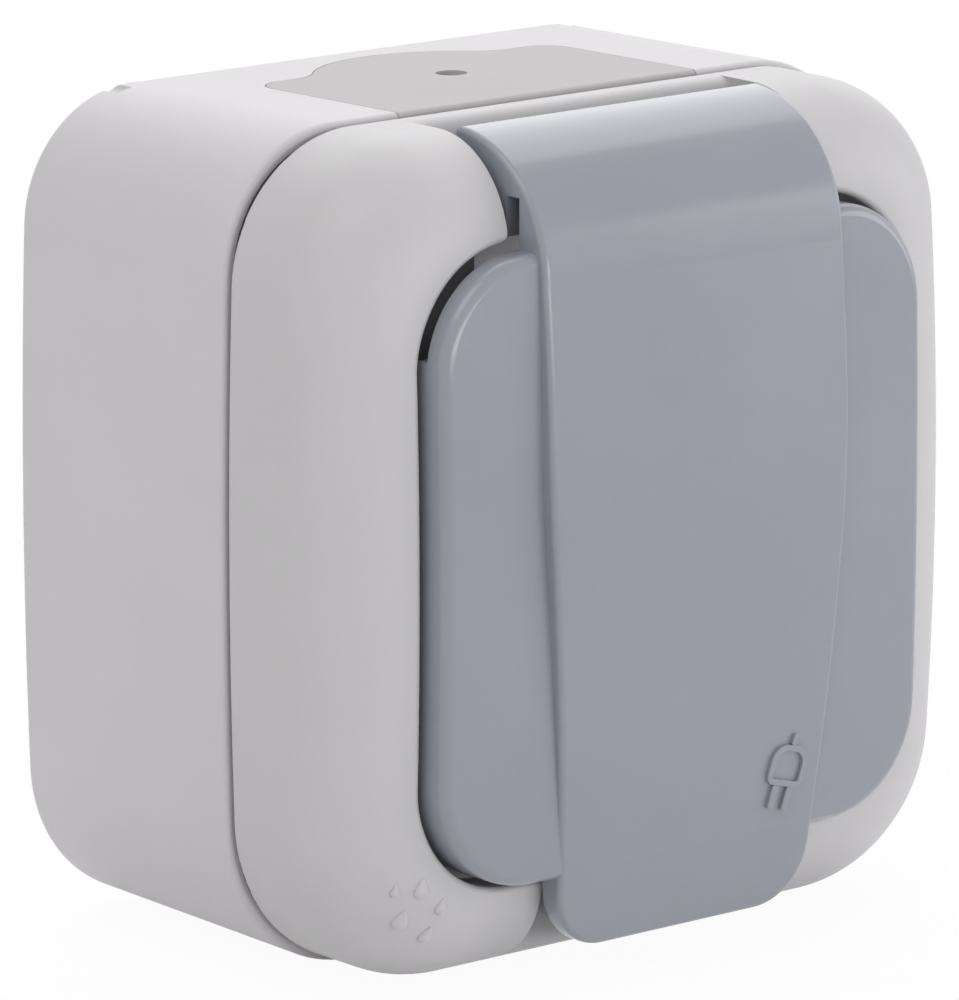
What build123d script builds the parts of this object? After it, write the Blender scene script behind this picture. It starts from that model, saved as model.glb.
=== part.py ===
"""Surface-mounted weatherproof socket outlet with a spring-loaded hinged lid.

The back of the box lies on the wall at Y = 0, the front faces -Y and +Z is up.
Depths in the comments and names are measured forward from the wall.
"""

import os
from math import radians, sin

from build123d import *

os.makedirs("parts", exist_ok=True)

# Housing outline, seen from the front
housing_width = 70.0
housing_height = 73.2
side_bow = 1.0
upper_corner_radius = 12.0
lower_corner_radius = 14.0

# Back box
box_depth = 28.9
box_wall = 2.2
back_wall = 2.4
box_draft = 0.43
box_rear_round = 0.8
box_rim_round = 0.6
rear_notch_radius = 1.1
rear_notch_depth = 2.5
rear_notch_x = 25.8

# Fixing to the wall
wall_hole_spacing = 56.0
wall_hole_radius = 2.3
wall_collar_radius = 4.6
wall_collar_height = 1.2

# Screws: thread as a plain cylinder, pan head with a straight slot
screw_radius = 1.5
screw_head_radius = 3.0
screw_head_height = 2.0
screw_slot_width = 0.9
screw_slot_depth = 0.9
thread_clearance = 0.05
through_clearance = 0.35
boss_wall = 2.1

# Cable-entry plates in the top and bottom walls
entry_width = 33.2
entry_shoulder_depth = 9.0
entry_corner_radius = 2.6
entry_lobe_radius = 12.0
entry_lobe_depth = 15.6
entry_blend_radius = 4.0
entry_clearance = 0.1
entry_flange_margin = 1.0
entry_flange_thickness = 1.4
membrane_radius = 10.0
membrane_thickness = 1.3
pip_radius = 1.4
pip_depth = 0.7

# Seam between box and cover
seam_gap = 0.5
seal_setback = 1.0
lip_clearance = 0.25
lip_thickness = 1.4
lip_length = 3.0
lip_root = 1.6

# Front cover
cover_inset = 0.3
cover_front = 45.1
cover_rounding = 9.2
cover_corner_extra = 1.0
cover_crown_radius = 600.0
cover_wall = 2.2
cover_edge_round = 0.4
recess_floor_depth = 40.0
recess_floor_thickness = 2.0
recess_wall = 1.8
jamb_round = 1.0
recess_edge_round = 0.5
cover_screw_offset = 20.3
cover_screw_length = 25.0
cover_seat_depth = 27.0

# Lid: a plate with two wings and a raised strap down the middle
wing_side_margin = 8.3
wing_top_margin = 9.35
wing_bottom_margin = 9.6
wing_corner_radius = 9.5
wing_front = 48.25
wing_cross_radius = 450.0
wing_crown_radius = 600.0
wing_edge_round = 1.0
lid_gap = 0.65
lid_back = 44.8
lid_skirt_thickness = 1.6
lid_skirt_back = 41.0
lid_skirt_end_margin = 8.25
lid_skirt_end_round = 3.0
lid_skirt_clearance = 0.5

# Strap of the lid
strap_width = 33.4
strap_taper_start = 6.0
strap_taper_blend = 150.0
strap_end_width = 27.6
strap_end_margin = 2.9
strap_end_radius = 5.5
strap_rise = 1.02
strap_apex_height = 2.5
strap_crown_radius = 235.0
strap_round_radius = 12.0
strap_round_drop = 6.4
strap_tail_reach = 3.4
strap_skin = 1.8
strap_edge_round = 0.5
strap_side_gap = 0.9
strap_lip_thickness = 1.5
strap_skirt_inset = 1.2
strap_notch_gap = 1.2

# Hinge of the lid
hinge_depth = 40.0
hinge_drop = 5.6
hinge_slot_rise = 0.6
hinge_slot_wall = 0.2
pin_radius = 1.0
pin_clearance = 0.05
pin_seat = 1.9
knuckle_radius = 2.9
knuckle_length = 6.0
hinge_cheek = 2.4
trough_radius = 7.4
trough_floor_drop = 6.1
trough_wall = 1.6
trough_edge_round = 1.8

# Closing spring
spring_wire_radius = 0.35
spring_leg_radius = 0.3
spring_coil_radius = 1.75
spring_turns = 9
spring_pitch = 0.62
spring_leg_clearance = 0.1

# Socket cup, for a plug with two round pins and side earth contacts
cup_inner_radius = 19.5
cup_wall = 1.9
cup_depth = 17.5
cup_floor = 2.3
cup_front = 43.2
cup_rim_round = 0.6
cup_flange_width = 2.3
cup_flange_thickness = 2.2
cup_opening_clearance = 0.5
key_width = 5.2
key_height = 1.7
key_setback = 2.6
pin_spacing = 19.0
plug_pin_radius = 2.4
plug_pin_clearance = 0.3
earth_window_width = 7.2
earth_window_clearance = 2.0

# Lid seal, pressed on the cup's flange when the lid is shut
lid_seal_thickness = 1.5
lid_seal_width = 2.2
lid_seal_inset = 0.2
lid_rib_width = 1.4
lid_rib_height = 0.9

# Contact carrier behind the cup
carrier_radius = 23.0
carrier_back = 5.0
terminal_depth = 17.0
pocket_clearance = 0.6
carrier_screw_offset = 13.6
carrier_screw_seat = 12.0
carrier_screw_length = 10.2
pocket_back = 6.0

# Contacts and terminals
sheet = 0.8
grip_clearance = 0.05
leaf_length = 12.5
leaf_setback = 0.8
leaf_width = 6.4
tab_end = 20.6
tab_width = 6.4
terminal_x = 17.2
earth_terminal_z = -12.0
earth_width = 6.0
earth_arm_gap = 0.8
earth_bow_reach = 1.2
earth_bow_depth = 33.0
earth_clip_reach = 4.0
earth_bend_radius = 1.2
clamp_width = 6.0
clamp_thickness = 1.0
terminal_screw_length = 8.5
centre_screw_length = 15.0

# Places that follow from the sizes above
mouth_inset = box_draft + box_wall
wing_half_width = housing_width / 2 - wing_side_margin
wing_top = housing_height / 2 - wing_top_margin
wing_bottom = -housing_height / 2 + wing_bottom_margin
lid_skirt_top = wing_top - lid_skirt_end_margin
hinge_height = housing_height / 2 - hinge_drop
trough_floor_height = hinge_height - trough_floor_drop
strap_apex = wing_front + strap_rise
strap_end = -housing_height / 2 + strap_end_margin
strap_round_height = hinge_height - strap_round_drop
strap_tail_depth = hinge_depth - strap_tail_reach
strap_inner_half_width = strap_width / 2 - strap_skin
notch_half_width = strap_end_width / 2 - strap_skirt_inset + strap_notch_gap
cover_rear = box_depth + seam_gap
recess_floor_back = recess_floor_depth - recess_floor_thickness
cup_outer_radius = cup_inner_radius + cup_wall
cup_floor_front = cup_front - cup_depth
cup_back = cup_floor_front - cup_floor
flange_back = cup_front - cup_flange_thickness
flange_radius = cup_outer_radius + cup_flange_width
channel_half_width = strap_width / 2 + strap_side_gap
strap_round_depth = strap_apex - strap_crown_radius + (
    strap_crown_radius**2 - (strap_round_height - strap_apex_height) ** 2
) ** 0.5 - strap_round_radius
strap_end_front = strap_apex - strap_crown_radius + (
    strap_crown_radius**2 - (strap_end - strap_apex_height) ** 2
) ** 0.5
seal_inner_radius = cup_outer_radius - lid_seal_inset
earth_arm_height = cup_inner_radius + earth_arm_gap
earth_bow_height = cup_inner_radius - earth_bow_reach
earth_tip_depth = earth_bow_depth + earth_clip_reach
leaf_inner = pin_spacing / 2 - leaf_width / 2
leaf_height = plug_pin_radius + grip_clearance + sheet
web_outer = pin_spacing / 2 + leaf_width / 2 + sheet
terminal_top = terminal_depth + sheet + clamp_thickness
screw_boss_radius = screw_radius + boss_wall
cover_screw_points = [(cover_screw_offset, cover_screw_offset), (-cover_screw_offset, -cover_screw_offset)]
carrier_screw_points = [
    (-carrier_screw_offset, carrier_screw_offset),
    (carrier_screw_offset, -carrier_screw_offset),
]
terminal_points = [(-terminal_x, 0), (terminal_x, 0), (0, earth_terminal_z)]
wall_hole_points = [(-wall_hole_spacing / 2, 0), (wall_hole_spacing / 2, 0)]

# Side view: forward is to the right, up is up, and the plane's normal is -X
side_view = Plane(origin=(0, 0, 0), x_dir=(0, -1, 0), z_dir=(-1, 0, 0))
hinge_axis = Axis((0, -hinge_depth, hinge_height), (1, 0, 0))


def facing(depth):
    """Plane parallel to the wall at a depth in front of it, seen from the front."""
    return Plane.XZ.offset(depth)


def looking_down(height):
    """Horizontal plane at a height, with forward as its second axis and its normal down."""
    return Plane(origin=(0, 0, height), x_dir=(1, 0, 0), z_dir=(0, 0, -1))


def housing_outline(inset, extra=0):
    """Front outline of the housing, pulled in by inset, with corners rounder by extra."""
    half_width = housing_width / 2 - inset
    half_height = housing_height / 2 - inset
    with BuildSketch() as outline:
        with BuildLine():
            ThreePointArc((half_width, -half_height), (half_width + side_bow, 0), (half_width, half_height))
            Line((half_width, half_height), (-half_width, half_height))
            ThreePointArc((-half_width, half_height), (-half_width - side_bow, 0), (-half_width, -half_height))
            Line((-half_width, -half_height), (half_width, -half_height))
        make_face()
        fillet(outline.vertices().group_by(Axis.Y)[-1], upper_corner_radius + extra - inset)
        fillet(outline.vertices().group_by(Axis.Y)[0], lower_corner_radius + extra - inset)
    return outline.sketch


def entry_outline(margin):
    """Cable-entry plate from above: a tongue open at the seam, with a round lobe towards the wall."""
    with BuildSketch() as outline:
        with BuildLine():
            half_width = entry_width / 2 + margin
            Polyline(
                (-half_width, box_depth),
                (-half_width, entry_shoulder_depth - margin),
                (half_width, entry_shoulder_depth - margin),
                (half_width, box_depth),
                close=True,
            )
        make_face()
        fillet(outline.vertices().group_by(Axis.Y)[0], entry_corner_radius + margin)
        with Locations((0, entry_lobe_depth)):
            Circle(entry_lobe_radius + margin)
        shoulder = outline.vertices().filter_by_position(
            Axis.Y, entry_shoulder_depth - margin - pip_depth, entry_shoulder_depth - margin + pip_depth
        )
        fillet(
            shoulder.filter_by_position(Axis.X, -entry_lobe_radius, entry_lobe_radius),
            entry_blend_radius - margin,
        )
    return outline.sketch


def wing_outline(margin):
    """Front outline of the lid's plate, grown by margin."""
    with BuildSketch() as outline:
        with Locations((0, (wing_top + wing_bottom) / 2)):
            RectangleRounded(
                2 * (wing_half_width + margin),
                wing_top - wing_bottom + 2 * margin,
                wing_corner_radius + margin,
            )
    return outline.sketch


def strap_outline(margin):
    """Front outline of the strap, grown by margin: straight above, narrower and rounded below."""
    half_width = strap_width / 2 + margin
    half_end = strap_end_width / 2 + margin
    end = strap_end - margin
    with BuildSketch() as outline:
        with BuildLine():
            Polyline(
                (half_width, housing_height / 2 + margin),
                (-half_width, housing_height / 2 + margin),
                (-half_width, strap_taper_start),
                (-half_end, end),
                (half_end, end),
                (half_width, strap_taper_start),
                close=True,
            )
        make_face()
        fillet(outline.vertices().group_by(Axis.Y)[0], strap_end_radius + margin)
        fillet(outline.vertices().group_by(Axis.Y)[-2], strap_taper_blend)
    return outline.sketch


def box_form():
    """Outer form of the back box, a little smaller at the wall than at the seam."""
    with BuildPart() as form:
        with BuildSketch(facing(0)):
            add(housing_outline(box_draft))
        with BuildSketch(facing(box_depth)):
            add(housing_outline(0))
        loft(ruled=True)
        fillet(form.edges().group_by(Axis.Y)[0], box_rim_round)
        fillet(form.edges().group_by(Axis.Y)[-1], box_rear_round)
    return form.part


def cover_form(inset, front, rounding):
    """Pillow form of the cover: the outline carried forward to a crowned, deeply rounded front."""
    with BuildPart() as form:
        with BuildSketch(facing(cover_rear)):
            add(housing_outline(inset, cover_corner_extra))
        extrude(amount=front - cover_rear)
        with BuildSketch(side_view):
            with Locations((front - cover_crown_radius, 0)):
                Circle(cover_crown_radius)
        extrude(amount=housing_width, both=True, mode=Mode.INTERSECT)
        fillet(form.faces().sort_by(Axis.Y)[0].edges(), rounding)
    return form.part


def trough_profile(wall):
    """Side view of the hinge trough, grown by wall: a round back that clears the strap's tail."""
    radius = trough_radius + wall
    back_depth = hinge_depth - radius
    floor = trough_floor_height - wall
    drop = hinge_height - floor
    floor_start = hinge_depth - (radius**2 - drop**2) ** 0.5
    cover_top = housing_height / 2 - cover_inset
    with BuildSketch() as profile:
        with BuildLine():
            rim = TangentArc(
                (back_depth - trough_edge_round, cover_top),
                (back_depth, cover_top - trough_edge_round),
                tangent=(1, 0),
            )
            back = Line(rim @ 1, (back_depth, hinge_height))
            bow = TangentArc(back @ 1, (floor_start, floor), tangent=back % 1)
            Polyline(
                bow @ 1,
                (strap_apex, floor),
                (strap_apex, housing_height),
                (back_depth - trough_edge_round, housing_height),
                rim @ 0,
            )
        make_face()
    return profile.sketch


# Back box: moulded tray with screw posts, wall-screw holes and two open cable entries
with BuildPart() as back_box:
    add(box_form())
    with BuildSketch(facing(back_wall)):
        add(housing_outline(mouth_inset))
    extrude(amount=box_depth, mode=Mode.SUBTRACT)
    # Posts for the cover screws and low pads for the contact carrier
    with BuildSketch(facing(back_wall)):
        with Locations(*cover_screw_points):
            Circle(screw_boss_radius)
    extrude(amount=cover_seat_depth - back_wall)
    with BuildSketch(facing(back_wall)):
        with Locations(*carrier_screw_points):
            Circle(screw_boss_radius)
    extrude(amount=carrier_back - back_wall)
    with BuildSketch(facing(back_wall)):
        with Locations(*wall_hole_points):
            Circle(wall_collar_radius)
    extrude(amount=wall_collar_height)
    # Pilot holes, wall-screw holes and the cable entries
    with BuildSketch(facing(cover_seat_depth)):
        with Locations(*cover_screw_points):
            Circle(screw_radius + thread_clearance)
    extrude(amount=-cover_screw_length + recess_floor_depth - cover_seat_depth, mode=Mode.SUBTRACT)
    with BuildSketch(facing(carrier_back)):
        with Locations(*carrier_screw_points):
            Circle(screw_radius + thread_clearance)
    extrude(amount=carrier_screw_seat - carrier_back - carrier_screw_length, mode=Mode.SUBTRACT)
    with BuildSketch(facing(0)):
        with Locations(*wall_hole_points):
            Circle(wall_hole_radius)
    extrude(amount=back_wall + wall_collar_height, mode=Mode.SUBTRACT)
    with BuildSketch(looking_down(housing_height / 2)):
        add(entry_outline(entry_clearance))
    extrude(amount=mouth_inset, mode=Mode.SUBTRACT)
    with BuildSketch(looking_down(-housing_height / 2)):
        add(entry_outline(entry_clearance))
    extrude(amount=-mouth_inset, mode=Mode.SUBTRACT)
    # Small notches in the rear edge, near the upper corners
    with BuildSketch(facing(0)):
        with Locations((-rear_notch_x, housing_height / 2), (rear_notch_x, housing_height / 2)):
            Circle(rear_notch_radius)
    extrude(amount=rear_notch_depth, mode=Mode.SUBTRACT)
back_box.part.label = "back_box"
export_step(back_box.part, "parts/back_box.step")

# Top cable entry: soft plate flush with the top wall, with a thin round membrane to pierce
with BuildPart() as top_cable_entry:
    with BuildSketch(looking_down(housing_height / 2)):
        add(entry_outline(0))
    extrude(amount=mouth_inset)
    add(box_form(), mode=Mode.INTERSECT)
    flange_height = housing_height / 2 - mouth_inset
    with BuildSketch(looking_down(flange_height)):
        add(entry_outline(entry_flange_margin))
        with Locations((0, box_depth)):
            Rectangle(housing_width, 2 * (lip_length + lip_clearance), mode=Mode.SUBTRACT)
    extrude(amount=entry_flange_thickness)
    with BuildSketch(looking_down(housing_height / 2 - box_draft - membrane_thickness)):
        with Locations((0, entry_lobe_depth)):
            Circle(membrane_radius)
    extrude(amount=mouth_inset + entry_flange_thickness, mode=Mode.SUBTRACT)
    # Pip in the middle of the membrane, a small round dent that guides the knife
    with BuildSketch(looking_down(housing_height / 2)):
        with Locations((0, entry_lobe_depth)):
            Circle(pip_radius)
    extrude(amount=pip_depth, mode=Mode.SUBTRACT)
top_cable_entry.part.label = "top_cable_entry"
export_step(top_cable_entry.part, "parts/top_cable_entry.step")

# Bottom cable entry: the same plate in the bottom wall
with BuildPart() as bottom_cable_entry:
    mirror(top_cable_entry.part, about=Plane.XY)
bottom_cable_entry.part.label = "bottom_cable_entry"
export_step(bottom_cable_entry.part, "parts/bottom_cable_entry.step")

# Cover seal: flat rubber ring that fills the seam, set back behind the outer edge
with BuildPart() as cover_seal:
    with BuildSketch(facing(box_depth)):
        add(housing_outline(seal_setback))
        add(housing_outline(mouth_inset), mode=Mode.SUBTRACT)
    extrude(amount=seam_gap)
cover_seal.part.label = "cover_seal"
export_step(cover_seal.part, "parts/cover_seal.step")

# Hollow behind the cover's skin, less the recess tray, the hinge trough and the strap's notch
with BuildPart() as cover_hollow:
    add(cover_form(cover_inset + cover_wall, cover_front - cover_wall, cover_rounding - cover_wall))
    with BuildSketch(facing(recess_floor_back)):
        add(wing_outline(lid_gap + recess_wall))
    extrude(amount=cover_front, mode=Mode.SUBTRACT)
    with BuildSketch(side_view):
        add(trough_profile(trough_wall))
    extrude(amount=channel_half_width + hinge_cheek, both=True, mode=Mode.SUBTRACT)
    with BuildSketch(facing(recess_floor_back)):
        with Locations((0, wing_bottom)):
            Rectangle(2 * (notch_half_width + recess_wall), 2 * wing_bottom_margin)
    extrude(amount=cover_front, mode=Mode.SUBTRACT)

# Front cover: rounded shell with a recess for the lid, a hinge trough above and a notch below
with BuildPart() as front_cover:
    add(cover_form(cover_inset, cover_front, cover_rounding))
    fillet(front_cover.faces().sort_by(Axis.Y)[-1].edges(), cover_edge_round)
    add(cover_hollow.part, mode=Mode.SUBTRACT)
    # Recess for the lid
    with BuildSketch(facing(recess_floor_depth)):
        add(wing_outline(lid_gap))
    extrude(amount=cover_front, mode=Mode.SUBTRACT)
    recess_walls = front_cover.faces().filter_by(
        lambda face: abs(face.bounding_box().max.Y + recess_floor_depth) < seam_gap
        and face.bounding_box().size.Y > recess_floor_thickness
    )
    fillet(recess_walls.edges().filter_by(lambda edge: -edge.center().Y > flange_back), recess_edge_round)
    # Trough for the hinge and the tail of the strap
    with BuildSketch(side_view):
        add(trough_profile(0))
    extrude(amount=channel_half_width, both=True, mode=Mode.SUBTRACT)
    # Notch for the lower end of the strap
    with BuildSketch(facing(recess_floor_depth)):
        with Locations((0, wing_bottom)):
            Rectangle(2 * notch_half_width, 2 * wing_bottom_margin)
    extrude(amount=cover_front, mode=Mode.SUBTRACT)
    # Rounded corners where the recess opens into the trough
    with BuildSketch(facing(recess_floor_depth)):
        for side in (-1, 1):
            corner = (side * (channel_half_width + jamb_round / 2), wing_top + lid_gap + jamb_round / 2)
            with Locations(corner):
                Rectangle(jamb_round, jamb_round)
        for side in (-1, 1):
            with Locations((side * (channel_half_width + jamb_round), wing_top + lid_gap + jamb_round)):
                Circle(jamb_round, mode=Mode.SUBTRACT)
    extrude(amount=cover_front, mode=Mode.SUBTRACT)
    # Locating lip that enters the mouth of the box
    with BuildSketch(facing(cover_rear)):
        add(housing_outline(seal_setback))
        add(housing_outline(mouth_inset + lip_clearance + lip_thickness), mode=Mode.SUBTRACT)
    extrude(amount=lip_root)
    with BuildSketch(facing(cover_rear)):
        add(housing_outline(mouth_inset + lip_clearance))
        add(housing_outline(mouth_inset + lip_clearance + lip_thickness), mode=Mode.SUBTRACT)
    extrude(amount=-lip_length)
    # Sleeves for the cover screws, the opening for the cup and the holes for the hinge pin
    with BuildSketch(facing(cover_seat_depth)):
        with Locations(*cover_screw_points):
            Circle(screw_boss_radius)
    extrude(amount=recess_floor_depth - cover_seat_depth)
    with BuildSketch(facing(cover_seat_depth)):
        with Locations(*cover_screw_points):
            Circle(screw_radius + through_clearance)
    extrude(amount=cover_front, mode=Mode.SUBTRACT)
    with BuildSketch(facing(cover_rear)):
        Circle(cup_outer_radius + cup_opening_clearance)
    extrude(amount=cover_front, mode=Mode.SUBTRACT)
    with BuildSketch(side_view):
        with Locations((hinge_depth, hinge_height)):
            Circle(pin_radius)
    extrude(amount=channel_half_width + pin_seat, both=True, mode=Mode.SUBTRACT)
front_cover.part.label = "front_cover"
export_step(front_cover.part, "parts/front_cover.step")


def pan_screw(seat_depth, length, points):
    """Screws at points of the front view: heads on a seat, thread towards the wall, slot in the head."""
    with BuildPart() as screw:
        with BuildSketch(facing(seat_depth)):
            with Locations(*points):
                Circle(screw_head_radius)
        extrude(amount=screw_head_height)
        fillet(screw.edges().group_by(Axis.Y)[0], screw_slot_depth / 2)
        with BuildSketch(facing(seat_depth)):
            with Locations(*points):
                Circle(screw_radius)
        extrude(amount=-length)
        with BuildSketch(facing(seat_depth + screw_head_height)):
            with Locations(*points):
                Rectangle(2 * screw_head_radius, screw_slot_width)
        extrude(amount=-screw_slot_depth, mode=Mode.SUBTRACT)
    return screw.part


# Cover screws: two, under the lid at opposite corners of the recess
with BuildPart() as cover_screws:
    add(pan_screw(recess_floor_depth, cover_screw_length, cover_screw_points))
cover_screws.part.label = "cover_screws"
export_step(cover_screws.part, "parts/cover_screws.step")

# Strap form: the side profile carried across, trimmed to the strap's front outline
with BuildPart() as strap_form:
    tail_angle = (strap_tail_depth - strap_round_depth) / strap_round_radius
    tail_height = strap_round_height + strap_round_radius * (1 - tail_angle**2) ** 0.5
    strap_front = strap_round_depth + strap_round_radius
    slot_back = hinge_depth + knuckle_radius + hinge_slot_wall
    with BuildSketch(side_view):
        with BuildLine():
            shoulder = strap_round_radius * sin(radians(45))
            top_round = ThreePointArc(
                (strap_tail_depth, tail_height),
                (strap_round_depth + shoulder, strap_round_height + shoulder),
                (strap_front, strap_round_height),
            )
            crown = ThreePointArc(
                (strap_front, strap_round_height),
                (strap_apex, strap_apex_height),
                (strap_end_front, strap_end),
            )
            Polyline(
                crown @ 1,
                (lid_skirt_back, strap_end),
                (lid_skirt_back, wing_bottom),
                (lid_back, wing_bottom),
                (lid_back, hinge_height + hinge_slot_rise),
                (slot_back, hinge_height + hinge_slot_rise),
                (slot_back, hinge_height - knuckle_radius),
                (hinge_depth - knuckle_radius / 2, hinge_height - knuckle_radius),
                (hinge_depth - knuckle_radius, hinge_height),
                (strap_tail_depth, tail_height - strap_skin),
                top_round @ 0,
            )
        make_face()
    extrude(amount=strap_width, both=True)
    with BuildSketch(facing(0)):
        add(strap_outline(0))
    extrude(amount=strap_apex, mode=Mode.INTERSECT)
    front_faces = strap_form.faces().filter_by(GeomType.CYLINDER).filter_by(
        lambda face: abs(face.axis_of_rotation.direction.X) > sin(radians(45))
    )
    front_edges = front_faces.edges()
    rim_edges = front_edges.filter_by(
        lambda edge: sum(edge.is_same(other) for face in front_faces for other in face.edges()) == 1
    )
    fillet(rim_edges, strap_edge_round)
    # Lower end: a lip all round, with a narrower skirt behind it
    with BuildSketch(facing(lid_skirt_back)):
        add(strap_outline(strap_skirt_inset))
        add(strap_outline(-strap_skirt_inset), mode=Mode.SUBTRACT)
        with Locations((0, housing_height / 2)):
            Rectangle(housing_width, housing_height - 2 * wing_bottom, mode=Mode.SUBTRACT)
    extrude(amount=strap_end_front - strap_lip_thickness - lid_skirt_back, mode=Mode.SUBTRACT)

# Crown of the wings: an arched line turned about an upright axis far behind the front
with BuildPart() as wing_crown:
    axis_depth = wing_front - wing_cross_radius
    sag = wing_crown_radius - (wing_crown_radius**2 - (housing_height / 2) ** 2) ** 0.5
    with BuildSketch(side_view):
        with BuildLine():
            front = ThreePointArc(
                (wing_front - sag, -housing_height / 2),
                (wing_front, 0),
                (wing_front - sag, housing_height / 2),
            )
            Polyline(
                front @ 1,
                (axis_depth, housing_height / 2),
                (axis_depth, -housing_height / 2),
                front @ 0,
            )
        make_face()
    revolve(axis=Axis((0, -axis_depth, 0), (0, 0, 1)))

# Lid: wings with crowned fronts, skirts behind their lower edges, and the strap across them
with BuildPart() as lid:
    with BuildSketch(facing(lid_back)):
        add(wing_outline(0))
    extrude(amount=wing_front - lid_back)
    add(wing_crown.part, mode=Mode.INTERSECT)
    fillet(lid.faces().sort_by(Axis.Y)[0].edges(), wing_edge_round)
    # Skirts along the lower sides and the bottom, with rounded upper ends
    with BuildSketch(facing(lid_skirt_back)):
        add(wing_outline(0))
        add(wing_outline(-lid_skirt_thickness), mode=Mode.SUBTRACT)
        Circle(flange_radius + lid_skirt_clearance, mode=Mode.SUBTRACT)
    extrude(amount=lid_back - lid_skirt_back)
    with BuildSketch(side_view):
        with BuildLine():
            skirt_end = TangentArc(
                (lid_skirt_back, lid_skirt_top - lid_skirt_end_round),
                (lid_skirt_back + lid_skirt_end_round, lid_skirt_top),
                tangent=(0, 1),
            )
            Polyline(
                skirt_end @ 1,
                (lid_back, lid_skirt_top),
                (lid_back, wing_top),
                (lid_skirt_back, wing_top),
                skirt_end @ 0,
            )
        make_face()
    extrude(amount=housing_width, both=True, mode=Mode.SUBTRACT)
    # Ring that locates the seal
    with BuildSketch(facing(lid_back)):
        Circle(seal_inner_radius)
        Circle(seal_inner_radius - lid_rib_width, mode=Mode.SUBTRACT)
    extrude(amount=-lid_rib_height)
    add(strap_form.part)
    # Hollows behind the strap: inside the seal, in the lower end and round the hinge
    with BuildSketch(facing(lid_back)):
        Circle(seal_inner_radius - lid_rib_width)
        Rectangle(2 * strap_inner_half_width, housing_height, mode=Mode.INTERSECT)
    extrude(amount=strap_end_front - lid_back, mode=Mode.SUBTRACT)
    with BuildSketch(facing(lid_skirt_back)):
        add(strap_outline(-strap_skirt_inset - strap_skin))
        with Locations((0, housing_height / 2)):
            Rectangle(
                housing_width,
                housing_height - 2 * (wing_bottom - lid_skirt_thickness),
                mode=Mode.SUBTRACT,
            )
    extrude(amount=strap_end_front - strap_skin - lid_skirt_back, mode=Mode.SUBTRACT)
    with BuildSketch(side_view):
        with Locations((strap_round_depth, strap_round_height)):
            Circle(strap_round_radius - strap_skin)
        with Locations((hinge_depth, wing_top - housing_height / 2)):
            Rectangle(housing_height, housing_height, mode=Mode.SUBTRACT)
    extrude(amount=strap_inner_half_width, both=True, mode=Mode.SUBTRACT)
    # Knuckles at both ends of the hinge, bored for the pin
    knuckle_inner = strap_inner_half_width - knuckle_length
    for side in (-1, 1):
        with BuildSketch(Plane(origin=(side * knuckle_inner, 0, 0), x_dir=(0, -1, 0), z_dir=(-1, 0, 0))):
            with Locations((hinge_depth, hinge_height)):
                Circle(knuckle_radius)
        extrude(amount=-side * (knuckle_length + strap_skin / 2))
    with BuildSketch(side_view):
        with Locations((hinge_depth, hinge_height)):
            Circle(pin_radius + pin_clearance)
    extrude(amount=strap_width, both=True, mode=Mode.SUBTRACT)
lid.part.label = "lid"
export_step(lid.part, "parts/lid.step")

# Lid seal: rubber ring round the locating rib, just clear of the cup's flange when shut
with BuildPart() as lid_seal:
    with BuildSketch(facing(lid_back)):
        Circle(seal_inner_radius + lid_seal_width)
        Circle(seal_inner_radius, mode=Mode.SUBTRACT)
    extrude(amount=-lid_seal_thickness)
    chamfer(lid_seal.edges().group_by(Axis.Y)[-1], lid_seal_width / 4)
lid_seal.part.label = "lid_seal"
export_step(lid_seal.part, "parts/lid_seal.step")

# Hinge pin: steel rod pressed into both cheeks of the cover, the lid turns on it
with BuildPart() as hinge_pin:
    with BuildSketch(side_view):
        with Locations((hinge_depth, hinge_height)):
            Circle(pin_radius)
    extrude(amount=channel_half_width + pin_seat, both=True)
    chamfer(hinge_pin.edges().group_by(Axis.X)[0], pin_radius / 4)
    chamfer(hinge_pin.edges().group_by(Axis.X)[-1], pin_radius / 4)
hinge_pin.part.label = "hinge_pin"
export_step(hinge_pin.part, "parts/hinge_pin.step")

# Closing spring: close-wound turns round the pin, one leg on the lid and one on the trough floor
with BuildPart() as lid_spring:
    half_coil = spring_pitch * (spring_turns - 1) / 2
    with BuildSketch(Plane.XZ.offset(hinge_depth)):
        with Locations((0, hinge_height + spring_coil_radius)):
            with GridLocations(spring_pitch, 0, spring_turns, 1):
                Circle(spring_wire_radius)
    revolve(axis=hinge_axis)
    leg_top = hinge_height + spring_wire_radius / 2
    with BuildSketch(looking_down(leg_top)):
        with Locations((-half_coil, hinge_depth - spring_coil_radius)):
            Circle(spring_leg_radius)
        with Locations((half_coil, hinge_depth + spring_coil_radius)):
            Circle(spring_leg_radius)
    extrude(amount=leg_top - trough_floor_height - spring_leg_clearance)
lid_spring.part.label = "lid_spring"
export_step(lid_spring.part, "parts/lid_spring.step")

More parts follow.
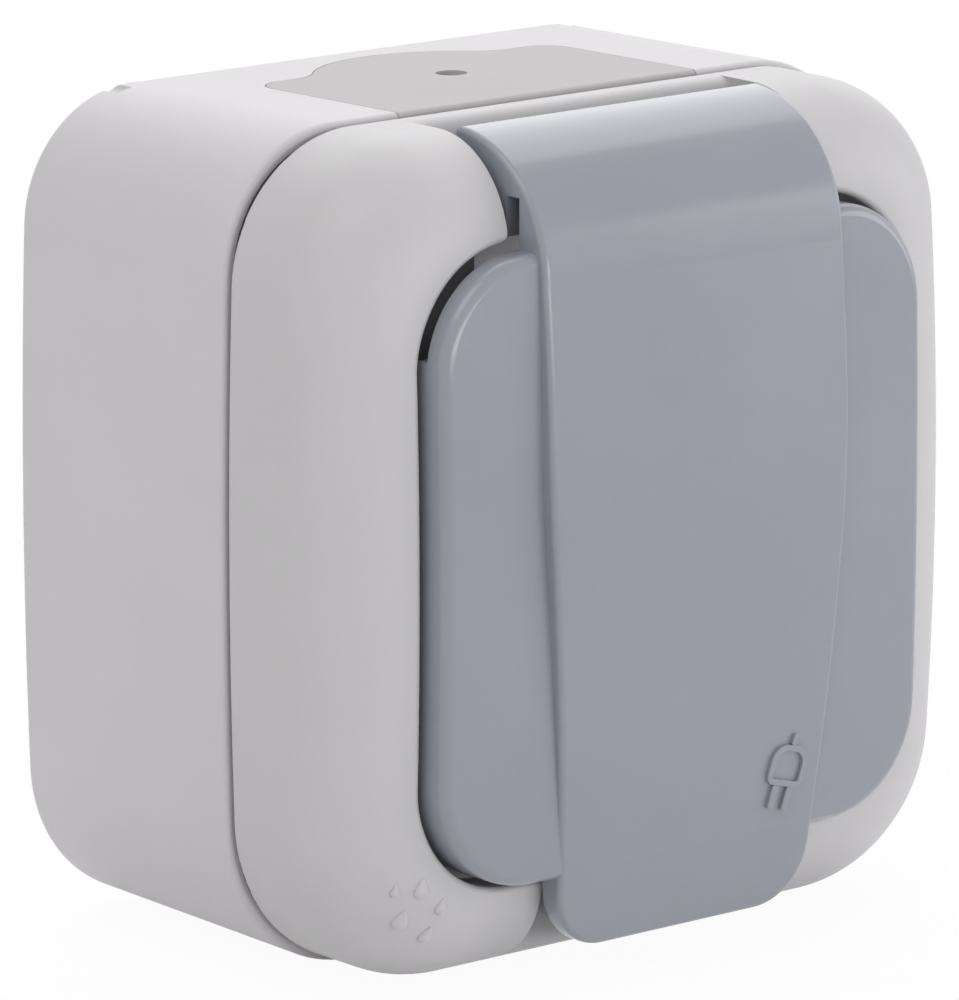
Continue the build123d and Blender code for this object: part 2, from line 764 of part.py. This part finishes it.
# Socket cup: turned profile with a flanged rim, keys at the sides and windows for the earth clips
with BuildPart() as socket_cup:
    with BuildSketch(side_view):
        with BuildLine():
            Polyline(
                (cup_back, 0),
                (cup_back, cup_outer_radius),
                (flange_back, cup_outer_radius),
                (flange_back, flange_radius),
                (cup_front, flange_radius),
                (cup_front, cup_inner_radius),
                (cup_floor_front, cup_inner_radius),
                (cup_floor_front, 0),
                close=True,
            )
        make_face()
    revolve(axis=Axis.Y)
    fillet(socket_cup.edges().group_by(Axis.Y)[0], cup_rim_round)
    with BuildSketch(facing(cup_floor_front)):
        for side in (-1, 1):
            with Locations((side * cup_inner_radius, 0)):
                Rectangle(2 * key_height, key_width)
        Circle(cup_inner_radius + cup_wall / 2, mode=Mode.INTERSECT)
    extrude(amount=cup_depth - key_setback)
    with BuildSketch(facing(cup_back)):
        with Locations((-pin_spacing / 2, 0), (pin_spacing / 2, 0)):
            Circle(plug_pin_radius + plug_pin_clearance)
        Circle(screw_radius + through_clearance)
    extrude(amount=cup_floor, mode=Mode.SUBTRACT)
    with BuildSketch(facing(cup_back)):
        for side in (-1, 1):
            with Locations((0, side * earth_arm_height)):
                Rectangle(earth_window_width, 2 * (earth_arm_height - earth_bow_height + sheet))
    extrude(amount=earth_tip_depth + earth_window_clearance - cup_back, mode=Mode.SUBTRACT)
socket_cup.part.label = "socket_cup"
export_step(socket_cup.part, "parts/socket_cup.step")

# Cup seal: rubber ring between the cup's flange and the floor of the recess
with BuildPart() as cup_seal:
    with BuildSketch(facing(recess_floor_depth)):
        Circle(flange_radius)
        Circle(cup_outer_radius, mode=Mode.SUBTRACT)
    extrude(amount=flange_back - recess_floor_depth)
cup_seal.part.label = "cup_seal"
export_step(cup_seal.part, "parts/cup_seal.step")

# Centre screw: holds the cup to the contact carrier
with BuildPart() as centre_screw:
    add(pan_screw(cup_floor_front, centre_screw_length, [(0, 0)]))
centre_screw.part.label = "centre_screw"
export_step(centre_screw.part, "parts/centre_screw.step")

# Contact carrier: round moulded block with pockets for the contacts, screwed to the box
with BuildPart() as contact_carrier:
    with BuildSketch(facing(carrier_back)):
        Circle(carrier_radius)
    extrude(amount=cup_back - carrier_back)
    with BuildSketch(facing(terminal_depth)):
        for side in (-1, 1):
            with Locations((side * leaf_inner - side * pocket_clearance, 0)):
                align = (Align.MIN if side > 0 else Align.MAX, Align.CENTER)
                Rectangle(carrier_radius, 2 * (leaf_height + pocket_clearance), align=align)
        Rectangle(earth_width + 2 * pocket_clearance, 2 * carrier_radius)
    extrude(amount=cup_back, mode=Mode.SUBTRACT)
    with BuildSketch(facing(pocket_back)):
        with Locations((-pin_spacing / 2 - sheet / 2, 0), (pin_spacing / 2 + sheet / 2, 0)):
            Rectangle(leaf_width + sheet + 2 * pocket_clearance, 2 * (leaf_height + pocket_clearance))
    extrude(amount=cup_back, mode=Mode.SUBTRACT)
    with BuildSketch(facing(terminal_top)):
        with Locations(*terminal_points):
            Circle(screw_radius + through_clearance)
    extrude(amount=-terminal_screw_length, mode=Mode.SUBTRACT)
    with BuildSketch(facing(cup_floor_front)):
        Circle(screw_radius + thread_clearance)
    extrude(amount=-centre_screw_length, mode=Mode.SUBTRACT)
    with BuildSketch(facing(carrier_screw_seat)):
        with Locations(*carrier_screw_points):
            Circle(screw_head_radius + through_clearance)
    extrude(amount=cup_back, mode=Mode.SUBTRACT)
    with BuildSketch(facing(carrier_back)):
        with Locations(*carrier_screw_points):
            Circle(screw_radius + through_clearance)
    extrude(amount=carrier_screw_seat, mode=Mode.SUBTRACT)
contact_carrier.part.label = "contact_carrier"
export_step(contact_carrier.part, "parts/contact_carrier.step")

# Carrier screws: two, sunk in the carrier and driven into the pads of the box
with BuildPart() as carrier_screws:
    add(pan_screw(carrier_screw_seat, carrier_screw_length, carrier_screw_points))
carrier_screws.part.label = "carrier_screws"
export_step(carrier_screws.part, "parts/carrier_screws.step")

# Neutral contact: brass channel that grips a plug pin, with a flat terminal tab at its outer side
with BuildPart() as neutral_contact:
    with BuildSketch(facing(cup_back - leaf_setback)):
        with Locations((web_outer, 0)):
            Rectangle(leaf_width + sheet, 2 * leaf_height, align=(Align.MAX, Align.CENTER))
        with Locations((web_outer - sheet, 0)):
            Rectangle(
                leaf_width,
                2 * (leaf_height - sheet),
                align=(Align.MAX, Align.CENTER),
                mode=Mode.SUBTRACT,
            )
    extrude(amount=-leaf_length)
    with BuildSketch(facing(terminal_depth)):
        with Locations((tab_end, 0)):
            Rectangle(tab_end - web_outer + sheet, tab_width, align=(Align.MAX, Align.CENTER))
        with Locations((terminal_x, 0)):
            Circle(screw_radius + thread_clearance, mode=Mode.SUBTRACT)
    extrude(amount=sheet)
neutral_contact.part.label = "neutral_contact"
export_step(neutral_contact.part, "parts/neutral_contact.step")

# Line contact: the same on the other side
with BuildPart() as line_contact:
    mirror(neutral_contact.part, about=Plane.YZ)
line_contact.part.label = "line_contact"
export_step(line_contact.part, "parts/line_contact.step")

# Earth strap: one bent strip that crosses the carrier and ends in two bowed side clips
with BuildPart() as earth_strap:
    strip_depth = terminal_depth + sheet / 2
    with BuildSketch(side_view):
        with BuildLine():
            FilletPolyline(
                (earth_tip_depth, earth_arm_height),
                (earth_bow_depth, earth_bow_height),
                (earth_bow_depth - earth_clip_reach, earth_arm_height),
                (strip_depth, earth_arm_height),
                (strip_depth, -earth_arm_height),
                (earth_bow_depth - earth_clip_reach, -earth_arm_height),
                (earth_bow_depth, -earth_bow_height),
                (earth_tip_depth, -earth_arm_height),
                radius=earth_bend_radius,
            )
        trace(line_width=sheet)
    extrude(amount=earth_width / 2, both=True)
    with BuildSketch(facing(terminal_depth)):
        Circle(screw_radius + through_clearance)
        with Locations((0, earth_terminal_z)):
            Circle(screw_radius + thread_clearance)
    extrude(amount=sheet, mode=Mode.SUBTRACT)
earth_strap.part.label = "earth_strap"
export_step(earth_strap.part, "parts/earth_strap.step")

# Clamp plates: a square plate under the head of each terminal screw
for clamp_name, clamp_point in zip(("line_clamp", "neutral_clamp", "earth_clamp"), terminal_points):
    with BuildPart() as clamp:
        with BuildSketch(facing(terminal_depth + sheet)):
            with Locations(clamp_point):
                RectangleRounded(clamp_width, clamp_width, clamp_thickness / 2)
                Circle(screw_radius + thread_clearance, mode=Mode.SUBTRACT)
        extrude(amount=clamp_thickness)
    clamp.part.label = clamp_name
    export_step(clamp.part, f"parts/{clamp_name}.step")

# Terminal screws: one each for line, neutral and earth
with BuildPart() as terminal_screws:
    add(pan_screw(terminal_top, terminal_screw_length, terminal_points))
terminal_screws.part.label = "terminal_screws"
export_step(terminal_screws.part, "parts/terminal_screws.step")
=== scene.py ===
"""Weatherproof socket outlet: finishes, moulded signs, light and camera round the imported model."""
from math import cos, radians, sin

import bmesh
import bpy
from mathutils import Matrix, Vector


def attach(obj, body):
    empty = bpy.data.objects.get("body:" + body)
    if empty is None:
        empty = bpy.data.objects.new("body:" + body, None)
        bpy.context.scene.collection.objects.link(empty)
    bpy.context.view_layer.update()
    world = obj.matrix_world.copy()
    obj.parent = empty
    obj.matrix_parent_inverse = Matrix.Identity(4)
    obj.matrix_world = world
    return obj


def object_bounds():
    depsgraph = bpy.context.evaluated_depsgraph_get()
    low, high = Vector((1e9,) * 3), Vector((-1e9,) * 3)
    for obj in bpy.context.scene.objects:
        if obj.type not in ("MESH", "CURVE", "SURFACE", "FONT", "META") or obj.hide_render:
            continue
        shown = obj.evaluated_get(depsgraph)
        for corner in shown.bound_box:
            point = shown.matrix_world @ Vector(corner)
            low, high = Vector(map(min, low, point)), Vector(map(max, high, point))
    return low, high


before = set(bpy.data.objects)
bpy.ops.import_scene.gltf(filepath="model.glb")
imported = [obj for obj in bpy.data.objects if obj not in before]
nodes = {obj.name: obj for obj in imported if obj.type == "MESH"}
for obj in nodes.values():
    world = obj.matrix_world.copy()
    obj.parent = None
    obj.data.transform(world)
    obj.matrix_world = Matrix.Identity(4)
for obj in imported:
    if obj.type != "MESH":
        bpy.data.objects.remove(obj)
cad_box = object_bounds()

# Back box
# The half that is screwed to the wall, injection-moulded in light-grey impact-proof plastic.
# Its mould was spark-eroded, so the faces are matt with a very fine grain.


def chip(red, green, blue):
    """Linear colour of a colour chip given from 0 to 255."""
    return tuple(((part / 255 + 0.055) / 1.055) ** 2.4 for part in (red, green, blue)) + (1.0,)


def moulded_plastic(name, colour, grain_size, grain_height, smoothest, roughest, drift):
    """Moulded plastic: slow drift of the colour, a fine grain in relief and a roughness that follows it."""
    finish = bpy.data.materials.new(name)
    finish.use_nodes = True
    tree = finish.node_tree
    shader = tree.nodes["Principled BSDF"]
    place = tree.nodes.new("ShaderNodeTexCoord")
    flow = tree.nodes.new("ShaderNodeTexNoise")
    flow.inputs["Scale"].default_value = 55
    flow.inputs["Detail"].default_value = 4
    flow.inputs["Roughness"].default_value = 0.6
    tree.links.new(place.outputs["Object"], flow.inputs["Vector"])
    tint = tree.nodes.new("ShaderNodeValToRGB")
    tint.color_ramp.elements[0].position = 0.3
    tint.color_ramp.elements[0].color = chip(*[part - drift for part in colour])
    tint.color_ramp.elements[1].position = 0.7
    tint.color_ramp.elements[1].color = chip(*[part + drift for part in colour])
    tree.links.new(flow.outputs["Fac"], tint.inputs["Fac"])
    grain = tree.nodes.new("ShaderNodeTexNoise")
    grain.inputs["Scale"].default_value = 1 / grain_size
    grain.inputs["Detail"].default_value = 2
    tree.links.new(place.outputs["Object"], grain.inputs["Vector"])
    speckle = tree.nodes.new("ShaderNodeMapRange")
    speckle.inputs["To Min"].default_value = 0.985
    speckle.inputs["To Max"].default_value = 1.015
    tree.links.new(grain.outputs["Fac"], speckle.inputs["Value"])
    speckled = tree.nodes.new("ShaderNodeVectorMath")
    speckled.operation = "SCALE"
    tree.links.new(tint.outputs["Color"], speckled.inputs["Vector"])
    tree.links.new(speckle.outputs["Result"], speckled.inputs["Scale"])
    tree.links.new(speckled.outputs["Vector"], shader.inputs["Base Color"])
    sheen = tree.nodes.new("ShaderNodeMapRange")
    sheen.inputs["From Min"].default_value = 0.3
    sheen.inputs["From Max"].default_value = 0.7
    sheen.inputs["To Min"].default_value = smoothest
    sheen.inputs["To Max"].default_value = roughest
    tree.links.new(flow.outputs["Fac"], sheen.inputs["Value"])
    tree.links.new(sheen.outputs["Result"], shader.inputs["Roughness"])
    relief = tree.nodes.new("ShaderNodeBump")
    relief.inputs["Strength"].default_value = 0.5
    relief.inputs["Distance"].default_value = grain_height
    tree.links.new(grain.outputs["Fac"], relief.inputs["Height"])
    tree.links.new(relief.outputs["Normal"], shader.inputs["Normal"])
    return finish


def dress(finish, *names):
    """Gives the finish to every material slot of these nodes."""
    for name in names:
        for place in nodes[name].material_slots:
            place.material = finish


housing_plastic = moulded_plastic(
    "housing_plastic", (205, 202, 205),
    grain_size=0.00022, grain_height=0.00002, smoothest=0.5, roughest=0.6, drift=2,
)
dress(housing_plastic, "back_box")

# Cable-entry plates
# Soft plates of thermoplastic rubber, pushed into the open slots of the top and bottom walls.
# They are a little darker and warmer than the box, and very matt, so that a cable seals in them.
entry_rubber = moulded_plastic(
    "entry_rubber", (184, 180, 182),
    grain_size=0.00028, grain_height=0.000025, smoothest=0.62, roughest=0.74, drift=3,
)
dress(entry_rubber, "top_cable_entry", "bottom_cable_entry")

# Seals
# Flat rings of black rubber, cut or moulded, laid in the seam and round the cup and the lid.
# The rubber has a dusty bloom and small pores.
seal_black = moulded_plastic(
    "seal_black", (42, 42, 44),
    grain_size=0.00035, grain_height=0.00004, smoothest=0.7, roughest=0.85, drift=5,
)
dress(seal_black, "cover_seal", "lid_seal", "cup_seal")

# Front cover
# Rounded shell in the same light-grey plastic as the box, with the recess for the lid and the hinge trough;
# its colour is a slightly darker copy of the box's, as painted shade.
# It is held by two screws under the lid and presses the seal in the seam.
# Painted shade: the same plastic as the box, given a slightly darker colour.
cover_plastic_painted_shade = moulded_plastic(
    "cover_plastic_painted_shade", (198, 196, 198),
    grain_size=0.0002, grain_height=0.000015, smoothest=0.46, roughest=0.56, drift=2,
)
dress(cover_plastic_painted_shade, "front_cover")

# Drops on the cover
# Five small raised drops near the lower left corner, the usual sign that the outlet stands splashing water.
# They are moulded in one with the cover, so they have its plastic and its painted shade.
drop_half_width = 0.00085
drop_rise = 0.0004
tip_narrowing = 0.55
tip_least = 0.02
tip_stretch = 1.75
tolerance = 0.00001
bpy.ops.object.select_all(action="DESELECT")
bpy.ops.mesh.primitive_uv_sphere_add(segments=32, ring_count=20, radius=drop_half_width)
drop = bpy.context.object
drop.name = "drop"
bpy.ops.object.mode_set(mode="EDIT")
drop_mesh = bmesh.from_edit_mesh(drop.data)
# Each ring above the middle is drawn in, and the upper half is then stretched into a tip.
for height in sorted({round(point.co.z, 7) for point in drop_mesh.verts if point.co.z > tolerance}):
    climb = height / drop_half_width
    for point in drop_mesh.verts:
        point.select_set(abs(point.co.z - height) < tolerance / 10)
    drop_mesh.select_flush_mode()
    bmesh.update_edit_mesh(drop.data)
    narrow = max(tip_least, 1 - tip_narrowing * climb)
    bpy.ops.transform.resize(value=(narrow, narrow, 1), center_override=(0, 0, height))
for point in drop_mesh.verts:
    point.select_set(point.co.z > tolerance)
drop_mesh.select_flush_mode()
bmesh.update_edit_mesh(drop.data)
bpy.ops.transform.resize(value=(1, 1, tip_stretch), center_override=(0, 0, 0))
bpy.ops.mesh.select_all(action="SELECT")
bpy.ops.transform.resize(value=(1, drop_rise / drop_half_width, 1), center_override=(0, 0, 0))
bpy.ops.object.mode_set(mode="OBJECT")
bpy.ops.object.shade_smooth()


def seat(mark, carrier, across, height, lean):
    """Puts a mark that faces -Y on the front of a node at a place of the front view, turned by lean."""
    ahead = (across, 4 * cad_box[0][1], height)
    point, normal = nodes[carrier].ray_cast(ahead, (0, 1, 0))[1:3]
    upright = Vector((0, 0, 1)) - normal * normal.z
    upright.normalize()
    sideways = upright.cross(normal)
    turned = Matrix((sideways, -normal, upright)).transposed() @ Matrix.Rotation(lean, 3, "Y")
    mark.matrix_world = Matrix.Translation(point) @ turned.to_4x4()
    bpy.ops.object.select_all(action="DESELECT")
    mark.select_set(True)
    bpy.context.view_layer.objects.active = mark
    bpy.ops.object.transform_apply(location=True, rotation=True, scale=True)


drops = []
for across, height, size, lean in (
    (-0.0269, -0.0264, 0.85, 0.10),
    (-0.0292, -0.0263, 0.50, 0.12),
    (-0.0248, -0.0283, 0.68, 0.30),
    (-0.0282, -0.02915, 0.90, 0.28),
    (-0.02555, -0.03085, 0.77, 0.36),
):
    bpy.ops.object.select_all(action="DESELECT")
    drop.select_set(True)
    bpy.context.view_layer.objects.active = drop
    bpy.ops.object.duplicate()
    copy = bpy.context.object
    copy.scale = (size, 1, size)
    bpy.ops.object.transform_apply(location=False, rotation=False, scale=True)
    seat(copy, "front_cover", across, height, lean)
    drops.append(copy)
bpy.ops.object.select_all(action="DESELECT")
drop.select_set(True)
bpy.ops.object.delete()
for copy in drops:
    copy.select_set(True)
bpy.context.view_layer.objects.active = drops[0]
bpy.ops.object.join()
water_drops = bpy.context.object
water_drops.name = "water_drops"
water_drops.data.materials.append(cover_plastic_painted_shade)
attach(water_drops, "housing")

# Lid
# One moulding in blue-grey plastic: two wings, a raised strap and the hinge knuckles behind its top.
# Its mould was polished, so it has a soft shine and takes the reflection of the light behind it.
lid_plastic = moulded_plastic(
    "lid_plastic", (148, 151, 160),
    grain_size=0.00045, grain_height=0.000003, smoothest=0.17, roughest=0.22, drift=2,
)
dress(lid_plastic, "lid")

# Plug sign on the lid
# A raised outline of a plug with two pins and a stub of cable, low on the right of the strap.
# It is moulded in one with the lid.
sign_width = 0.0042
sign_height = 0.0037
sign_line = 0.00055
top_round = 0.0016
low_round = 0.0008
bead_round = 0.0002
prong_offset = 0.00084
prong_width = 0.0007
prong_length = 0.0021
stub_length = 0.001
sign_rise = 0.00036
sign_sink = 0.0001
sign_across = 0.0106
sign_level = -0.0209
sign_lean = radians(15)
facing_front = (radians(90), 0, 0)
bpy.ops.object.select_all(action="DESELECT")
bpy.ops.mesh.primitive_plane_add(size=1, rotation=facing_front)
plug_sign = bpy.context.object
plug_sign.name = "plug_sign"
plug_sign.scale = (sign_width, sign_height, 1)
bpy.ops.object.transform_apply(location=False, rotation=True, scale=True)
bpy.ops.object.mode_set(mode="EDIT")


def pick(test):
    """Selects the sign's points that pass a test, and the edges and faces between them."""
    bpy.ops.mesh.select_all(action="DESELECT")
    sign_mesh = bmesh.from_edit_mesh(plug_sign.data)
    for point in sign_mesh.verts:
        point.select_set(test(point.co))
    sign_mesh.select_flush_mode()
    sign_mesh.select_flush(True)
    bmesh.update_edit_mesh(plug_sign.data)


pick(lambda place: place.z > 0)
bpy.ops.mesh.bevel(offset=top_round, segments=7, affect="VERTICES")
pick(lambda place: place.z < tolerance - sign_height / 2)
bpy.ops.mesh.bevel(offset=low_round, segments=5, affect="VERTICES")
bpy.ops.mesh.select_all(action="SELECT")
bpy.ops.mesh.inset(thickness=sign_line)
bpy.ops.mesh.delete(type="FACE")
bpy.ops.object.mode_set(mode="OBJECT")
bars = []
for across, low, high, width in (
    (0, sign_height / 2, sign_height / 2 + stub_length, sign_line),
    (-prong_offset, -sign_height / 2 - prong_length, -sign_height / 2, prong_width),
    (prong_offset, -sign_height / 2 - prong_length, -sign_height / 2, prong_width),
):
    bpy.ops.object.select_all(action="DESELECT")
    bpy.ops.mesh.primitive_plane_add(size=1, location=(across, 0, (low + high) / 2), rotation=facing_front)
    bar = bpy.context.object
    bar.scale = (width, high - low, 1)
    bpy.ops.object.transform_apply(location=True, rotation=True, scale=True)
    bpy.ops.object.mode_set(mode="EDIT")
    bpy.ops.mesh.select_all(action="SELECT")
    bpy.ops.mesh.bevel(offset=width / 4, segments=3, affect="VERTICES")
    bpy.ops.object.mode_set(mode="OBJECT")
    bars.append(bar)
bpy.ops.object.select_all(action="DESELECT")
for bar in bars:
    bar.select_set(True)
plug_sign.select_set(True)
bpy.context.view_layer.objects.active = plug_sign
bpy.ops.object.join()
bpy.ops.object.mode_set(mode="EDIT")
bpy.ops.mesh.select_all(action="SELECT")
bpy.ops.transform.translate(value=(0, -sign_rise, 0))
bpy.ops.mesh.extrude_region_move(TRANSFORM_OT_translate={"value": (0, sign_rise + sign_sink, 0)})
bpy.ops.mesh.select_all(action="SELECT")
bpy.ops.mesh.normals_make_consistent(inside=False)
bpy.ops.object.mode_set(mode="OBJECT")
rounding = plug_sign.modifiers.new("rounding", "BEVEL")
rounding.width = bead_round
rounding.segments = 4
rounding.limit_method = "ANGLE"
bpy.ops.object.modifier_apply(modifier="rounding")
bpy.ops.object.shade_smooth_by_angle(angle=radians(40))
seat(plug_sign, "lid", sign_across, sign_level, sign_lean)
plug_sign.data.materials.append(lid_plastic)
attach(plug_sign, "lid")

# Screws, hinge pin and spring
# Zinc-plated steel: turned screws, a drawn pin and a wound wire spring.
# The plating is a bright, slightly streaky grey.


def worked_metal(name, colour, smoothest, roughest, streak):
    """Bare or plated metal: fine streaks along one direction in its colour, roughness and relief."""
    streak_shade = 16
    finish = bpy.data.materials.new(name)
    finish.use_nodes = True
    tree = finish.node_tree
    shader = tree.nodes["Principled BSDF"]
    shader.inputs["Metallic"].default_value = 1.0
    place = tree.nodes.new("ShaderNodeTexCoord")
    drawn = tree.nodes.new("ShaderNodeMapping")
    drawn.inputs["Scale"].default_value = streak
    tree.links.new(place.outputs["Object"], drawn.inputs["Vector"])
    marks = tree.nodes.new("ShaderNodeTexNoise")
    marks.inputs["Scale"].default_value = 1
    marks.inputs["Detail"].default_value = 5
    tree.links.new(drawn.outputs["Vector"], marks.inputs["Vector"])
    tint = tree.nodes.new("ShaderNodeValToRGB")
    tint.color_ramp.elements[0].position = 0.3
    tint.color_ramp.elements[0].color = chip(*[part - streak_shade for part in colour])
    tint.color_ramp.elements[1].position = 0.7
    tint.color_ramp.elements[1].color = chip(*colour)
    tree.links.new(marks.outputs["Fac"], tint.inputs["Fac"])
    tree.links.new(tint.outputs["Color"], shader.inputs["Base Color"])
    sheen = tree.nodes.new("ShaderNodeMapRange")
    sheen.inputs["To Min"].default_value = smoothest
    sheen.inputs["To Max"].default_value = roughest
    tree.links.new(marks.outputs["Fac"], sheen.inputs["Value"])
    tree.links.new(sheen.outputs["Result"], shader.inputs["Roughness"])
    relief = tree.nodes.new("ShaderNodeBump")
    relief.inputs["Strength"].default_value = 0.25
    relief.inputs["Distance"].default_value = 0.00001
    tree.links.new(marks.outputs["Fac"], relief.inputs["Height"])
    tree.links.new(relief.outputs["Normal"], shader.inputs["Normal"])
    return finish


plated_steel = worked_metal(
    "plated_steel", (206, 207, 210), smoothest=0.2, roughest=0.42, streak=(6000, 900, 6000),
)
dress(plated_steel, "cover_screws", "centre_screw", "carrier_screws", "terminal_screws")
spring_steel = worked_metal(
    "spring_steel", (186, 188, 192), smoothest=0.18, roughest=0.34, streak=(900, 5000, 5000),
)
dress(spring_steel, "hinge_pin", "lid_spring")

# Socket cup
# Round cup that takes the plug, moulded in grey plastic with a satin face.
# Its flange rests on a seal on the recess floor, and one screw holds it to the carrier.
cup_plastic = moulded_plastic(
    "cup_plastic", (176, 177, 182),
    grain_size=0.0003, grain_height=0.00001, smoothest=0.38, roughest=0.46, drift=3,
)
dress(cup_plastic, "socket_cup")

# Contact carrier
# Heat-proof white block behind the cup, with pockets for the contacts; two screws hold it to the box.
# It is pressed from a chalky, slightly speckled moulding powder.
carrier_powder = moulded_plastic(
    "carrier_powder", (224, 221, 212),
    grain_size=0.0005, grain_height=0.00003, smoothest=0.5, roughest=0.66, drift=5,
)
dress(carrier_powder, "contact_carrier")

# Contacts and clamps
# Line and neutral contacts are folded from brass strip; the earth strap and the clamps are tinned.
# Rolling has left fine streaks along the strip.
rolled_brass = worked_metal(
    "rolled_brass", (214, 178, 104), smoothest=0.2, roughest=0.4, streak=(800, 5000, 5000),
)
dress(rolled_brass, "line_contact", "neutral_contact")
tinned_strip = worked_metal(
    "tinned_strip", (205, 203, 196), smoothest=0.24, roughest=0.45, streak=(5000, 800, 800),
)
dress(tinned_strip, "earth_strap", "line_clamp", "neutral_clamp", "earth_clamp")

# Floor
# Pale matt floor under the outlet, just clear of its lowest edge.
# The camera and reflections see it almost white, and it keeps a faint shadow.
floor_size = 6
floor_gap = 0.0002
white_share = 0.95
bpy.ops.object.select_all(action="DESELECT")
bpy.ops.mesh.primitive_plane_add(size=floor_size, location=(0, 0, cad_box[0][2] - floor_gap))
floor = bpy.context.object
floor.name = "floor"
pale_floor = bpy.data.materials.new("pale_floor")
pale_floor.use_nodes = True
tree = pale_floor.node_tree
tree.nodes.clear()
surface = tree.nodes.new("ShaderNodeOutputMaterial")
paper = tree.nodes.new("ShaderNodeBsdfDiffuse")
paper.inputs["Color"].default_value = chip(250, 250, 250)
white = tree.nodes.new("ShaderNodeEmission")
white.inputs["Color"].default_value = (1, 1, 1, 1)
white.inputs["Strength"].default_value = 1.0


def seen_share(tree, share):
    """Share for rays of the camera, of reflections and through clear things, and zero for the rest."""
    ray = tree.nodes.new("ShaderNodeLightPath")
    total = ray.outputs["Is Camera Ray"]
    for kind in ("Is Glossy Ray", "Is Transmission Ray"):
        either = tree.nodes.new("ShaderNodeMath")
        either.operation = "MAXIMUM"
        tree.links.new(total, either.inputs[0])
        tree.links.new(ray.outputs[kind], either.inputs[1])
        total = either.outputs["Value"]
    scaled = tree.nodes.new("ShaderNodeMath")
    scaled.operation = "MULTIPLY"
    scaled.inputs[1].default_value = share
    tree.links.new(total, scaled.inputs[0])
    return scaled.outputs["Value"]


both = tree.nodes.new("ShaderNodeMixShader")
tree.links.new(seen_share(tree, white_share), both.inputs["Fac"])
tree.links.new(paper.outputs["BSDF"], both.inputs[1])
tree.links.new(white.outputs["Emission"], both.inputs[2])
tree.links.new(both.outputs["Shader"], surface.inputs["Surface"])
floor.data.materials.append(pale_floor)

# Light
# A broad soft box high behind, weaker ones above, left, right and low in front, and an even glow.
# The one behind is mirrored in the strap's top, where it makes the bright band.
outlet_middle = (0, -0.03, 0)
outlet_low = (0, -0.03, -0.02)
glow_level = 0.40
seen_level = 1.0


def soft_box(name, place, target, width, depth, power):
    """Rectangular soft light at a place, turned to a target."""
    lamp = bpy.data.lights.new(name, "AREA")
    lamp.shape = "RECTANGLE"
    lamp.size = width
    lamp.size_y = depth
    lamp.energy = power
    light = bpy.data.objects.new(name, lamp)
    bpy.context.collection.objects.link(light)
    light.location = place
    light.rotation_euler = (Vector(target) - Vector(place)).to_track_quat("-Z", "Y").to_euler()


soft_box("soft_box_behind", (0.29, 0.32, 0.48), outlet_middle, width=0.70, depth=0.78, power=2.6)
soft_box("soft_box_above", (-0.34, -0.10, 0.54), outlet_middle, width=0.50, depth=0.40, power=1.3)
soft_box("soft_box_left", (-0.65, 0.0, 0.15), outlet_middle, width=0.40, depth=0.50, power=0.15)
soft_box("soft_box_right", (0.60, -0.40, 0.05), outlet_middle, width=0.40, depth=0.50, power=1.55)
soft_box("soft_box_low", (0.10, -0.70, 0.03), outlet_low, width=0.50, depth=0.12, power=1.0)
glow = bpy.data.worlds.new("glow")
bpy.context.scene.world = glow
glow.use_nodes = True
tree = glow.node_tree
tree.nodes.clear()
sky = tree.nodes.new("ShaderNodeOutputWorld")
even = tree.nodes.new("ShaderNodeBackground")
even.inputs["Color"].default_value = (1, 1, 1, 1)
level = tree.nodes.new("ShaderNodeMapRange")
level.inputs["To Min"].default_value = glow_level
level.inputs["To Max"].default_value = seen_level
tree.links.new(seen_share(tree, 1.0), level.inputs["Value"])
tree.links.new(level.outputs["Result"], even.inputs["Strength"])
tree.links.new(even.outputs["Background"], sky.inputs["Surface"])

# Camera
# Long lens, to the left of the outlet and a little above it, as the photograph was taken.
# Its place is given by two angles, a distance and a small shift of the aim.
azimuth = radians(-39.641)
elevation = radians(12.83)
distance = 0.738568
aim_right = 0.012407
aim_up = -0.004267
backward = Vector((sin(azimuth) * cos(elevation), -cos(azimuth) * cos(elevation), sin(elevation)))
rightward = Vector((cos(azimuth), sin(azimuth), 0))
upward = backward.cross(rightward)
lens = bpy.data.cameras.new("camera")
lens.sensor_width = 36
lens.lens = 298.01
lens.clip_end = 20
camera = bpy.data.objects.new("camera", lens)
bpy.context.collection.objects.link(camera)
camera.matrix_world = Matrix.Translation(
    rightward * aim_right + upward * aim_up + backward * distance
) @ Matrix((rightward, upward, backward)).transposed().to_4x4()
bpy.context.scene.camera = camera
bpy.context.scene.view_settings.view_transform = "Standard"
